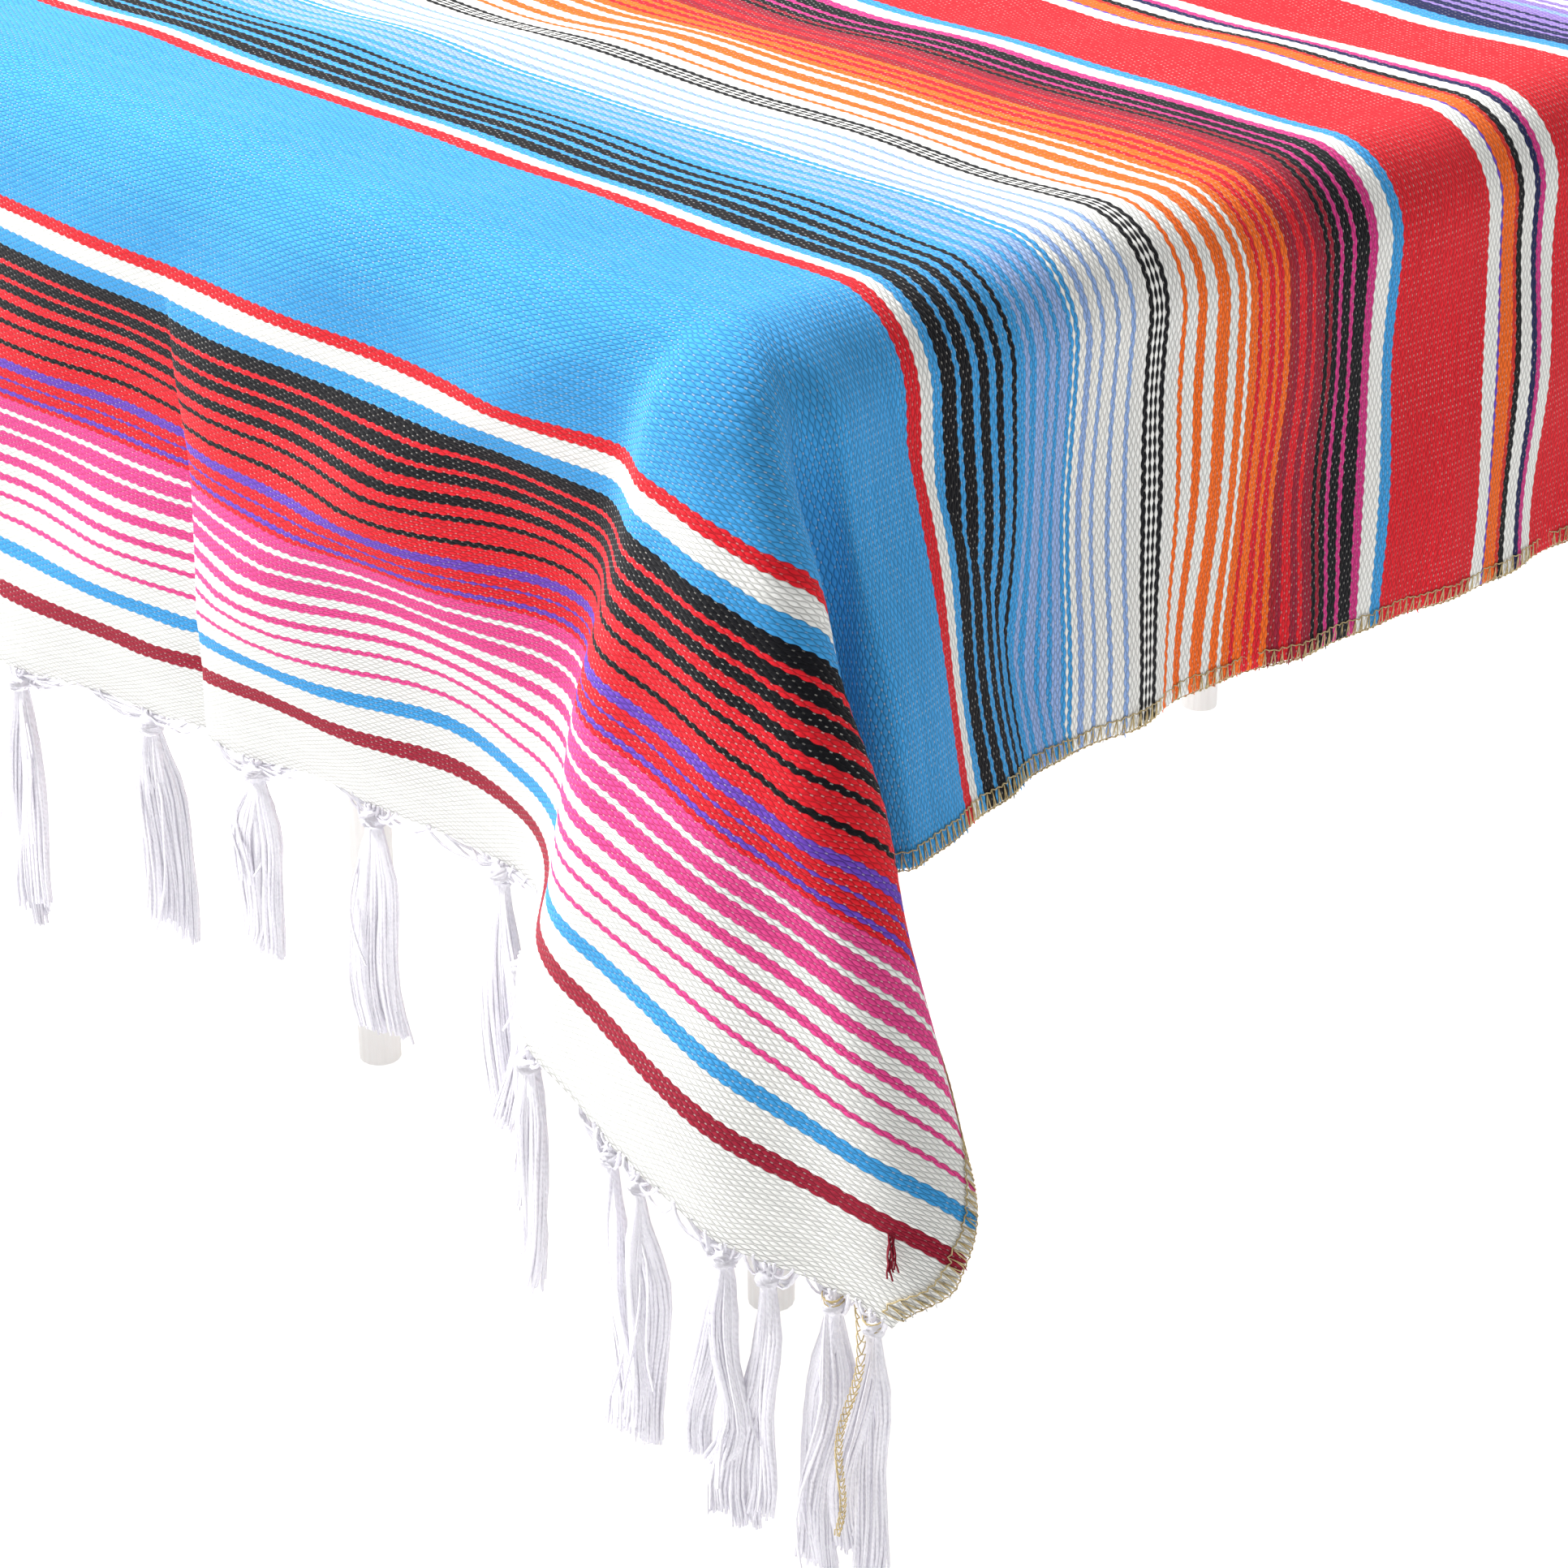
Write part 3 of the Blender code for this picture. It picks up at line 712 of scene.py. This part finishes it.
def makeThreads(name, paths, material, sides=3):
    # each path is (points, radii, flat cloth place or None)
    places, edges, radii, flats, start = [], [], [], [], 0
    for points, width, flat in paths:
        count = len(points)
        places.append(points)
        radii.append(np.broadcast_to(width, count))
        flats.append(np.tile((flat if flat is not None else (0.0, 0.0)) + (0.0,), (count, 1)))
        edges.append(np.column_stack([np.arange(start, start + count - 1),
                                      np.arange(start + 1, start + count)]))
        start += count
    mesh = bpy.data.meshes.new(name)
    mesh.from_pydata(np.concatenate(places).tolist(), np.concatenate(edges).tolist(), [])
    mesh.attributes.new("thick", "FLOAT", "POINT").data.foreach_set("value", np.concatenate(radii))
    mesh.attributes.new("flat", "FLOAT_VECTOR", "POINT").data.foreach_set(
        "vector", np.concatenate(flats).ravel())
    draft = addObject(name + "Draft", mesh)
    modifier = draft.modifiers.new("threads", "NODES")
    modifier.node_group = threadTubes
    values = {"Sides": sides, "Material": material}
    for entry in threadTubes.interface.items_tree:
        if entry.in_out == "INPUT" and entry.name in values:
            modifier[entry.identifier] = values[entry.name]
    graph = bpy.context.evaluated_depsgraph_get()
    result = bpy.data.meshes.new_from_object(draft.evaluated_get(graph))
    bpy.data.objects.remove(draft, do_unlink=True)
    result.name = name
    result.shade_smooth()
    if any(flat is not None for _, _, flat in paths):
        corners = np.empty(len(result.loops), dtype=np.int32)
        result.loops.foreach_get("vertex_index", corners)
        flatPlaces = np.empty(len(result.vertices) * 3)
        result.attributes["flat"].data.foreach_get("vector", flatPlaces)
        layer = result.uv_layers.new(name="cloth")
        layer.data.foreach_set("uv", flatPlaces.reshape(-1, 3)[corners][:, :2].ravel())
    print(name, "of", len(paths), "threads,", len(result.polygons), "faces")
    return addPiece(name, result, material)


# fringe
fringe = {
    "threads": 78,
    "radius": 0.00068,
    "length": 0.095,
    "steps": 9,
    "knotHeight": 0.0092, "knotRadius": 0.0037,
    "turns": 7, "turnRadius": 0.0019, "turnRound": 6.6,  # the knot's turns, in radians each
    "throats": 6, "throatRadius": 0.0010, "throatReach": 0.0016,  # threads through its middle
    "cores": 5, "core": 0.0019,  # thick inner strands, so that nothing shows through a lock
    "coreReach": 0.62,
    "fullGap": 0.029,  # knots nearer to each other than this are smaller
    "spread": 0.0052,
    "halfWide": 0.0072,  # of a lock, when a tassel has two
    "halfDeep": 0.0027,
    "bow": 0.0078, "sway": (0.009, 0.004), "out": 0.002,
    "ripple": 0.00022,
    "strays": 0.04, "strayOut": (0.010, 0.006),
    "backShift": 31,  # keeps the far end's lengths from repeating the near end's
}
hemEnds = {
    "threads": 18,
    "steps": 7,
    "edge": 0.006, "margin": 0.002,  # how far they reach past the last knot, and stay inside
    "overlap": 1.12,
    "sag": (0.0008, 0.0072), "fall": 0.0022,
    "inset": 0.0012, "lift": (-0.0008, 0.0013), "loop": 0.0012,
}
down = np.array([0.0, 0.0, -1.0])


def unit(vector):
    return vector / max(np.linalg.norm(vector), 1e-9)


def knotPaths(top, across, outward, scale):
    # a ball of turns, with threads straight through it
    paths = []
    heart = top + down * fringe["knotHeight"] * 0.5
    for k in range(fringe["turns"]):
        t = np.linspace(0.0, fringe["turnRound"], 13) + k
        tilt, head = random.uniform(-0.9, 0.9), random.uniform(0.0, 6.28)
        lie = across * math.cos(head) + outward * math.sin(head)
        rise = unit(np.cross(lie, down)) * math.cos(tilt) + down * math.sin(tilt)
        ring = fringe["knotRadius"] * scale * (1.0 + 0.12 * np.sin(2 * t))
        points = heart + lie * (ring * np.cos(t))[:, None] + rise * (ring * np.sin(t))[:, None]
        paths.append((points, fringe["turnRadius"] * scale, None))
    for k in range(fringe["throats"]):
        t = np.linspace(0.0, 1.0, 5)
        far = fringe["throatReach"] * scale * (0.5 + np.abs(t - 0.5) * 2.0)
        drop = fringe["knotHeight"] * 1.15 * t - 0.0010
        points = (top + across * (far * math.cos(k))[:, None]
                  + outward * (far * math.sin(k) * 0.7)[:, None] + down * drop[:, None])
        paths.append((points, fringe["throatRadius"] * scale, None))
    return paths


def drawLocks():
    # a tassel's sway, and the place, curve, tip and roll of each of its locks
    count = random.choice((1, 2, 2, 3))
    sway = random.uniform(-1, 1) * fringe["sway"][0], random.uniform(-0.3, 1) * fringe["sway"][1]
    locks = []
    for k in range(count):
        locks.append({
            "side": (k - (count - 1) / 2) * 2 / max(count - 1, 1) * random.uniform(0.7, 1.1),
            "bow": random.uniform(0.3, 1.0) * random.choice((-1, 1)) * fringe["bow"],
            "bends": random.uniform(4.2, 6.8), "turn": random.uniform(0, 6.28),
            "reach": random.uniform(0.88, 1.0), "out": random.uniform(-1, 1) * fringe["out"],
            "tip": random.uniform(0.95, 1.35), "roll": random.uniform(-0.8, 0.8)})
    return locks, sway


def lockPaths(base, across, outward, scale, length):
    # threads round the rim of each flat lock, and its cores
    locks, sway = drawLocks()
    lockCount, cores = len(locks), fringe["cores"]
    t = np.linspace(0.0, 1.0, fringe["steps"] + 1)
    count = round(fringe["threads"] * scale)
    halfWide = fringe["halfWide"] * scale * math.sqrt(2.0 / lockCount)
    halfDeep = fringe["halfDeep"] * scale
    opening = ramp(t, 0.40)
    paths = []
    for k in range(count + cores * lockCount):
        lock = locks[k % lockCount]
        inner = k >= count
        stray = not inner and random.random() < fringe["strays"]
        reach = length * lock["reach"] * (random.uniform(0.96, 1.0) if not stray else
                                          random.uniform(0.55, 1.05))
        middle = (lock["side"] * fringe["spread"] * scale * opening + sway[0] * t**1.5
                  + lock["bow"] * np.sin(lock["bends"] * t + lock["turn"]) * t)
        depth = lock["out"] * opening + sway[1] * t**1.5
        body = (0.45 + 0.55 * ramp(t, 0.22)) * (1.0 - (1.0 - lock["tip"]) * ramp(t - 0.6, 0.4))
        if inner:
            place = ((k - count) // lockCount / (cores - 1) * 2.0 - 1.0) * fringe["coreReach"]
            wide, deep = halfWide * place, 0.0
        else:
            spin = 6.283 * (k // lockCount) * lockCount / count + random.uniform(-0.1, 0.1)
            far = random.uniform(0.84, 1.0)
            wide, deep = halfWide * far * math.cos(spin), halfDeep * far * math.sin(spin)
        roll = lock["roll"] * np.sin(3.4 * t + lock["turn"])
        sideways = (wide * np.cos(roll) - deep * np.sin(roll)) * body
        forwards = (wide * np.sin(roll) + deep * np.cos(roll)) * body
        wave = fringe["ripple"] * np.sin(
            random.uniform(7, 16) * t + random.uniform(0, 6.28)) * opening
        if stray:
            middle = middle + random.uniform(-1, 1) * fringe["strayOut"][0] * t**2
            depth = depth + random.uniform(0, 1) * fringe["strayOut"][1] * t**2
        points = (base + across * (middle + sideways + wave)[:, None]
                  + outward * (depth + forwards - wave * 0.6)[:, None]
                  + down * (reach * t)[:, None])
        if inner:
            thin = fringe["core"] * scale
            taper = (0.5 + 0.5 * ramp(t, 0.25)) * (1.0 - 0.4 * ramp(t - 0.85, 0.15))
        else:
            thin = fringe["radius"] * random.uniform(0.85, 1.1)
            taper = 1.0 - 0.2 * ramp(t - 0.9, 0.1)
        paths.append((points, thin * taper, None))
    return paths


def tasselPaths(number, end, distance):
    u = -end * (halfWidth - distance)
    hem, _, alongU, _ = (part[0] for part in clothPoint(u, end * (halfLength - 0.001)))
    across = unit(np.array([alongU[0], alongU[1], 0.0]) + 1e-6)
    outward = np.array([across[1], -across[0], 0.0])
    gap = min(abs(distance - other) for other in knotPlaces if other != distance)
    scale = min(0.45 + 0.55 * gap / fringe["fullGap"], 1.0)
    top = hem + down * 0.0012
    paths = knotPaths(top, across, outward, scale)
    base = top + down * (fringe["knotHeight"] - 0.002)
    length = fringe["length"] * (1.0 + 0.12 * math.sin(1.7 * number)) * random.uniform(0.94, 1.05)
    return paths + lockPaths(base, across, outward, scale, length)


def hemPaths(number, end, distance):
    # the loose warp ends that run along the hem into their knot
    paths = []
    before = (distance - knotPlaces[number - 1]) / 2 if number else hemEnds["edge"]
    last = number + 1 == len(knotPlaces)
    after = hemEnds["edge"] if last else (knotPlaces[number + 1] - distance) / 2
    for _ in range(hemEnds["threads"]):
        share = random.uniform(-1.0, 1.0)
        far = distance + share * ((after if share > 0 else before) * hemEnds["overlap"])
        far = min(max(far, hemEnds["margin"]), cloth["width"] - hemEnds["margin"])
        t = np.linspace(0.0, 1.0, hemEnds["steps"])
        bend = t**random.uniform(0.8, 1.8)
        u = -end * (halfWidth - (far + (distance - far) * bend))
        sag = random.uniform(*hemEnds["sag"]) * np.sin(math.pi * t) + hemEnds["fall"] * t
        v = np.full(len(t), end * (halfLength - hemEnds["inset"]))
        points, normal, _, _ = clothPoint(u, v, random.uniform(*hemEnds["lift"]))
        loop = random.uniform(-1, 1) * hemEnds["loop"] * np.sin(
            math.pi * t * random.choice((1, 2, 3)))
        points = points + normal * loop[:, None]
        points[:, 2] -= sag
        paths.append((points, fringe["radius"] * random.uniform(0.7, 1.1), None))
    return paths


def makeFringe(endName, end):
    paths = []
    for number, distance in enumerate(knotPlaces):
        paths += tasselPaths(number + (0 if end < 0 else fringe["backShift"]), end, distance)
        paths += hemPaths(number, end, distance)
    item = makeThreads(f"fringe_{endName}", paths, cottonMaterial)
    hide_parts(*[f"tassel_{endName}_{k:02d}" for k in range(1, len(knotPlaces) + 1)])
    return item


fringePieces = [makeFringe("front", -1.0), makeFringe("back", 1.0)]

# overlocked sides
overlock = {
    "pitch": 0.0034,
    "depth": 0.0056,
    "radius": 0.00025,
    "clear": 0.0003,
    "margin": 0.003,
    "wobble": 0.10,
}
stitch = [  # share of the pitch, share of the depth, more depth in metres, share of the height
    (0.00, 1.00, 0.0, 1.0), (0.10, 0.50, 0.0, 1.0), (0.22, 0.0, 0.0003, 0.9),
    (0.28, 0.0, -0.0012, 0.0), (0.36, 0.0, 0.0004, -1.0), (0.50, 0.55, 0.0, -1.0),
    (0.64, 0.0, 0.0004, -1.0), (0.72, 0.0, -0.0012, 0.0), (0.80, 0.0, 0.0003, 0.9),
    (0.94, 0.60, 0.0, 1.0),
]
wrap = {"turns": 5.0, "radius": 0.0031, "uneven": 0.0005, "start": 0.0012, "fall": 0.0052,
        "bob": 0.0011}
chain = {
    "at": 0.0155,
    "length": 0.078,
    "step": 0.0009,
    "link": 0.0075, "swing": 0.0014, "bob": 0.0012,
    "clear": 0.011,  # it hangs in front of the locks
    "aside": 0.74, "forward": 0.67,
}


def overlockPaths(side):
    # one thread goes over the edge and back, one runs along its inner turns, one along the edge
    pitch = overlock["pitch"]
    count = int((cloth["length"] - 2 * overlock["margin"]) / pitch)
    start = -halfLength + overlock["margin"]
    off = cloth["thickness"] / 2 + overlock["clear"]
    wobble = np.array([random.uniform(-1, 1) for _ in range(count + 2)])
    over, inner, rim = [], [], []
    for k in range(count):
        s = start + (k + overlock["wobble"] * wobble[k]) * pitch
        d = overlock["depth"] * (1.0 + overlock["wobble"] * wobble[k + 1])
        over += [(s + along * pitch, d * deep + more, off * high)
                 for along, deep, more, high in stitch]
        inner += [(s, d + 0.0002, off), (s + 0.5 * pitch, d - 0.0005, off * 1.1)]
        rim += [(s + 0.25 * pitch, -0.0013, 0.0003), (s + 0.75 * pitch, -0.0009, -0.0003)]
    paths = []
    for table in (over, inner, rim):
        table = np.array(table)
        points, normal, alongU, _ = clothPoint(side * (halfWidth - np.maximum(table[:, 1], 0.0)),
                                               table[:, 0])
        points = points + alongU * (side * np.maximum(-table[:, 1], 0.0))[:, None]
        paths.append((points + normal * table[:, 2][:, None], overlock["radius"], None))
    return paths


def hemPoint(side, end, distance):
    return clothPoint(side * (halfWidth - distance), end * (halfLength - 0.001))[0][0]


def knotWraps(side, end, distance):
    # the sewing thread's last turns, round a corner's knot
    t = np.linspace(0.0, 1.0, 60)
    angle = 6.283 * wrap["turns"] * t
    ring = wrap["radius"] + wrap["uneven"] * np.sin(angle * 0.37)
    points = hemPoint(side, end, distance) + np.column_stack([
        ring * np.cos(angle), ring * np.sin(angle),
        -wrap["start"] - wrap["fall"] * t + wrap["bob"] * np.sin(angle)])
    return [(points, overlock["radius"], None)]


def chainTail(side, end):
    # the chain of thread that the machine leaves past the corner
    length = chain["length"]
    t = np.linspace(0.0, 1.0, int(length / chain["step"]))
    clear = chain["clear"] * ramp(t, 0.18)
    drift = np.column_stack([
        (chain["aside"] * clear - 0.006 * t**2) * side + 0.0015 * np.sin(9 * t),
        (chain["forward"] * clear + 0.0035 * t) * end + 0.0016 * np.sin(7 * t + 1.0),
        -length * t - 0.004])
    hem = hemPoint(side, end, chain["at"])
    paths = []
    for k in range(3):
        angle = 6.283 * t * length / chain["link"] + 2.094 * k
        swing = chain["swing"] * (1.0 - 0.3 * t)
        points = hem + drift + np.column_stack([swing * np.cos(angle), swing * np.sin(angle),
                                                chain["bob"] * np.sin(angle * 2.0)])
        paths.append((points, overlock["radius"] * 0.9, None))
    return paths


def makeOverlock(sideName, side):
    paths = overlockPaths(side)
    for distance in knotPlaces[:2]:
        paths += knotWraps(side, -side, distance)
    paths += chainTail(side, -side)
    return makeThreads(f"overlock_{sideName}", paths, overlockMaterial, 4)


overlockPieces = [makeOverlock("right", 1.0), makeOverlock("left", -1.0)]

# cut weft ends at the sides
weftEnd = {"pitch": 0.0022, "length": 0.0019, "radius": 0.00036, "margin": 0.002}
looseEnd = {
    "u": 0.728, "above": 0.0310, "stripe": 0.0335,  # metres above the hem: its root, its color
    "threads": 9,
    "length": 0.011,
    "radius": 0.00036,
}


def weftEnds(side):
    paths = []
    span = cloth["length"] - 2 * weftEnd["margin"]
    count = int(cloth["length"] / weftEnd["pitch"])
    places = -halfLength + weftEnd["margin"] + (np.arange(count) + 0.5) * span / count
    rims, normals, outs, alongs = clothPoint(np.full(count, side * (halfWidth - 0.0008)), places)
    for k in range(count):
        for _ in range(2):
            length = weftEnd["length"] * random.uniform(0.35, 1.25)
            heading = unit(outs[k] * side + normals[k] * random.uniform(-0.5, 0.5)
                           + alongs[k] * random.uniform(-0.7, 0.7))
            bend = down * random.uniform(0.0, 0.5)
            t = np.array([0.0, 0.5, 1.0])
            shift = alongs[k] * random.uniform(-0.001, 0.001)
            points = (rims[k] + shift + heading * (length * t)[:, None]
                      + bend * (length * t**2)[:, None])
            flat = (float(side * (halfWidth - weftEnd["margin"])), float(places[k]))
            paths.append((points, weftEnd["radius"] * np.array([1.1, 0.9, 0.45]), flat))
    return paths


def looseYarn():
    # a cut end of burgundy yarn that has worked out of its stripe, near the corner
    paths = []
    base, normal, alongU, alongV = (
        part[0] for part in clothPoint(looseEnd["u"], -halfLength + looseEnd["above"]))
    flat = (looseEnd["u"], -halfLength + looseEnd["stripe"])
    for k in range(looseEnd["threads"]):
        t = np.linspace(0.0, 1.0, 7)
        side = random.uniform(-1, 1)
        points = (base + normal * (0.0014 + 0.0032 * np.sin(math.pi * t * 0.6))[:, None]
                  + alongU * (0.006 * t + side * 0.0016 * t + 0.001 * np.sin(4 * t + k))[:, None]
                  - alongV * (looseEnd["length"] * random.uniform(0.7, 1.05) * t)[:, None])
        paths.append((points, looseEnd["radius"], flat))
    return paths


def makeWeftEnds():
    pieces = []
    for sideName, side in (("right", 1.0), ("left", -1.0)):
        paths = weftEnds(side)
        if side > 0:
            paths += looseYarn()
        pieces.append(makeThreads(f"weft_ends_{sideName}", paths, clothMaterial))
    return pieces


weftPieces = makeWeftEnds()


# table
wood = {
    "dark": (243, 242, 239), "pale": (251, 251, 249),
    "grainScale": 3.0, "poreScale": 22.0,
    "rough": (0.25, 0.36),
    "relief": 0.0003, "reliefStrength": 0.25,
    "stretch": {"top": (14.0, 1.2, 14.0), "legs": (22.0, 22.0, 1.4)},
}


def makeTableMaterial(name, stretch):
    material, g, shader = newMaterial(name, 0.45)
    drawn = g.node("ShaderNodeMapping")
    drawn.inputs["Scale"].default_value = stretch
    g.feed(drawn.inputs["Vector"], g.node("ShaderNodeTexCoord").outputs["Object"])
    grain = g.noise(drawn.outputs[0], wood["grainScale"], 5.0, 0.6)
    pores = g.noise(drawn.outputs[0], wood["poreScale"], 3.0, 0.7)
    tone = g.plus(g.times(grain, 0.7), g.times(pores, 0.3))
    color = g.mix(g.between(tone, 0.35, 0.65), linear(wood["dark"]), linear(wood["pale"]))
    g.feed(shader.inputs["Base Color"], color)
    g.feed(shader.inputs["Roughness"], g.math("MULTIPLY_ADD", pores, *wood["rough"]))
    addBump(g, shader, pores, wood["reliefStrength"], wood["relief"])
    return material


topMaterial = makeTableMaterial("paleWoodTop", wood["stretch"]["top"])
legMaterial = makeTableMaterial("paleWoodLegs", wood["stretch"]["legs"])
for name in ("table_top", "leg_front_left", "leg_front_right", "leg_back_left", "leg_back_right"):
    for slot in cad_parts[name].material_slots:
        slot.material = topMaterial if name == "table_top" else legMaterial
print("table finished")

# floor and light
studio = {
    "floor": (246, 246, 246),
    "floorReach": 9, "floorDrop": 0.0005,
    "glow": 0.42,
    "world": 0.34,  # as light
    "room": 0.93,  # as the camera sees it
    "aim": (0.2, -0.2, 0.6),
    "key": {"place": (-1.9, -1.6, 3.3), "size": 1.8, "power": 290.0},
    "fill": {"place": (3.2, -1.6, 2.2), "size": 2.6, "power": 4.0},
    "back": {"place": (0.8, 2.4, 3.2), "size": 2.4, "power": 45.0},
}


def addLights():
    for name in ("key", "fill", "back"):
        values = studio[name]
        data = bpy.data.lights.new(name, "AREA")
        data.size = values["size"]
        data.energy = values["power"]
        item = addObject(name, data)
        item.location = values["place"]
        aim = Vector(studio["aim"]) - item.location
        item.rotation_euler = aim.to_track_quat("-Z", "Y").to_euler()
    world = bpy.data.worlds.new("studio")
    world.use_nodes = True
    air = world.node_tree.nodes["Background"]
    air.inputs[0].default_value = (1.0, 1.0, 1.0, 1.0)
    g = Graph(world.node_tree)
    seen = g.node("ShaderNodeLightPath").outputs["Is Camera Ray"]
    g.feed(air.inputs[1],
           g.math("MULTIPLY_ADD", seen, studio["room"] - studio["world"], studio["world"]))
    bpy.context.scene.world = world
    bpy.context.scene.view_settings.view_transform = "Standard"


def addFloor():
    mesh = bpy.data.meshes.new("floor")
    far = studio["floorReach"]
    mesh.from_pydata([(-far, -far, 0), (far, -far, 0), (far, far, 0), (-far, far, 0)], [],
                     [(0, 1, 2, 3)])
    material, _, shader = newMaterial("paleFloor", 0.9)
    shader.inputs["Base Color"].default_value = linear(studio["floor"])
    shader.inputs["Emission Color"].default_value = (1.0, 1.0, 1.0, 1.0)
    shader.inputs["Emission Strength"].default_value = studio["glow"]
    mesh.materials.append(material)
    item = addObject("floor", mesh)
    item.location.z = -studio["floorDrop"]


addLights()
addFloor()
print("floor and lights placed")
